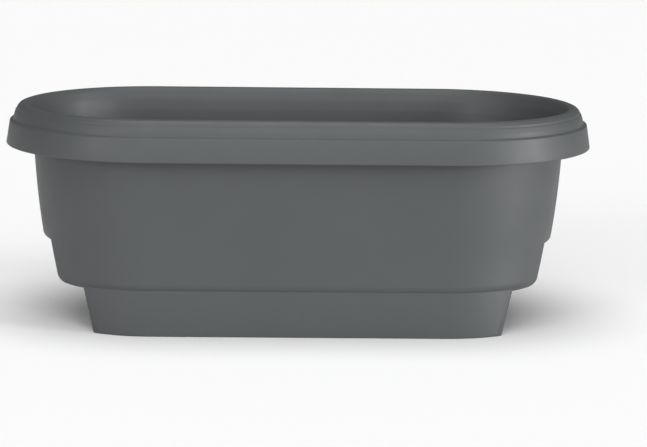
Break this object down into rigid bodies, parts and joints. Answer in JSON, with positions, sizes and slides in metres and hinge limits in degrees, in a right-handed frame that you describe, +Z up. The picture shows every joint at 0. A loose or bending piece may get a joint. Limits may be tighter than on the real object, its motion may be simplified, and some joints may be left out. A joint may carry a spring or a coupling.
{
  "type": "self-watering deck rail planter",
  "caption": "Long round-ended planter with a rolled rim, a stepped saddle that sits on a deck rail, water-holding feet, slotted platform, wicking cups, fill tube and float gauge.",
  "frame": {"origin": "on the ground under the middle of the planter", "axes": "+Z up, +X along the planter to the end with the gauge, -Y out of the front"},
  "size_m": [0.61, 0.308, 0.2276],
  "materials": {
    "charcoal": "fine satin moulding, charcoal grey",
    "black_plastic": "matte moulded, black",
    "grey_plastic": "matte moulded, mid grey",
    "clear_plastic": "clear moulded",
    "red_plastic": "gloss red",
    "white_foam": "closed-cell foam, off-white",
    "black_rubber": "matte rubber",
    "steel": "brushed"
  },
  "bodies": {
    "tub": {"planter_shell": "charcoal", "overflow_pipe_front": "grey_plastic", "overflow_pipe_rear": "grey_plastic", "overflow_grommet_front": "black_rubber", "overflow_grommet_rear": "black_rubber", "overflow_strainer_front": "black_plastic", "overflow_strainer_rear": "black_plastic"},
    "left_platform": {"platform_left": "black_plastic", "wick_cup_front_left": "black_plastic", "wick_cup_rear_left": "black_plastic", "fill_tube": "black_plastic", "fill_strainer": "grey_plastic", "fill_lid_pin": "steel"},
    "right_platform": {"platform_right": "black_plastic", "wick_cup_front_right": "black_plastic", "wick_cup_rear_right": "black_plastic", "gauge_tube": "black_plastic", "gauge_window": "clear_plastic", "gauge_cap": "black_plastic"},
    "lid": {"fill_lid": "black_plastic"},
    "float": {"gauge_float": "white_foam", "gauge_stem": "red_plastic"},
    "front_plug": {"drain_plug_front": "grey_plastic", "drain_seal_front": "black_rubber"},
    "rear_plug": {"drain_plug_rear": "grey_plastic", "drain_seal_rear": "black_rubber"}
  },
  "joints": [
    {"name": "left_platform_lift", "type": "slide", "parent": "tub", "child": "left_platform", "axis": [0, 0, 1], "range_m": [0, 0.1]},
    {"name": "right_platform_lift", "type": "slide", "parent": "tub", "child": "right_platform", "axis": [0, 0, 1], "range_m": [0, 0.1]},
    {"name": "lid_hinge", "type": "hinge", "parent": "left_platform", "child": "lid", "pos_m": [-0.176, -0.08, 0.2053], "axis": [0, -1, 0], "range_deg": [0, 105]},
    {"name": "float_rise", "type": "slide", "parent": "right_platform", "child": "float", "axis": [0, 0, 1], "range_m": [0, 0.061]},
    {"name": "front_plug_turn", "type": "hinge", "parent": "tub", "child": "front_plug", "pos_m": [-0.112, -0.0948, 0.008], "axis": [0, 0, 1], "range_deg": [0, 90]},
    {"name": "rear_plug_turn", "type": "hinge", "parent": "tub", "child": "rear_plug", "pos_m": [-0.112, 0.0948, 0.008], "axis": [0, 0, 1], "range_deg": [0, 90]}
  ]
}
